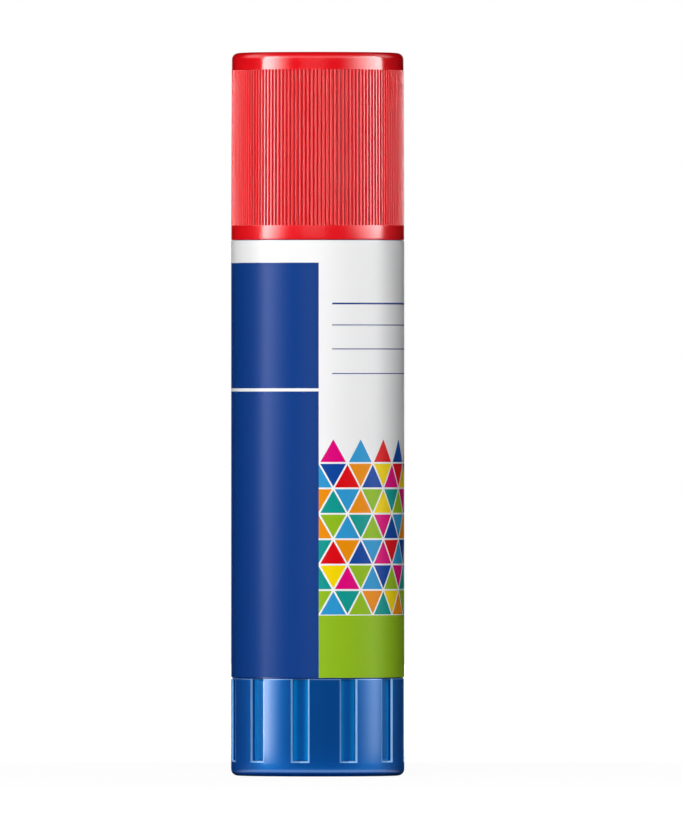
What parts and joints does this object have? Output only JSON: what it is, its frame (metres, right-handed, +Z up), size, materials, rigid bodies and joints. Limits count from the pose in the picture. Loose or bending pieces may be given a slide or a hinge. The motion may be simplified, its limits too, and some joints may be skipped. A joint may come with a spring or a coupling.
{
  "type": "glue stick",
  "caption": "Twist-up glue stick: ribbed pull-off cap, labelled round barrel, and a grooved base knob whose screw raises a carrier holding the glue.",
  "frame": {"origin": "centre of the foot that the stick stands on, at the bottom of the knob", "axes": "+Z runs up the stick from knob to cap; the label's front faces -Y, and its seam is at +Y"},
  "size_m": [0.029, 0.029, 0.121],
  "materials": {
    "cap_plastic": "glossy moulded polypropylene",
    "seal_plastic": "soft natural polyethylene",
    "barrel_plastic": "glossy moulded polypropylene",
    "label_film": "printed white film",
    "knob_plastic": "glossy, slightly translucent moulded plastic",
    "screw_plastic": "natural polypropylene",
    "carrier_plastic": "natural polyethylene",
    "glue_paste": "waxy off-white adhesive"
  },
  "bodies": {
    "barrel": {"barrel": "barrel_plastic", "label": "label_film"},
    "knob": {"knob": "knob_plastic", "spindle": "screw_plastic"},
    "carrier": {"carrier": "carrier_plastic", "glue": "glue_paste"},
    "cap": {"cap_shell": "cap_plastic", "cap_seal": "seal_plastic"}
  },
  "joints": [
    {"name": "knob_turn", "type": "hinge", "parent": "barrel", "child": "knob", "pos_m": [0, 0, 0], "axis": [0, 0, 1], "range_deg": [0, 6120]},
    {"name": "carrier_rise", "type": "slide", "parent": "barrel", "child": "carrier", "axis": [0, 0, 1], "range_m": [0, 0.0765]},
    {"name": "cap_pull", "type": "slide", "parent": "carrier", "child": "cap", "axis": [0, 0, 1], "range_m": [0, 0.045]}
  ],
  "couplings": [
    {"joint": "knob_turn", "follows": "carrier_rise", "rad_per_m": 1396.3}
  ]
}
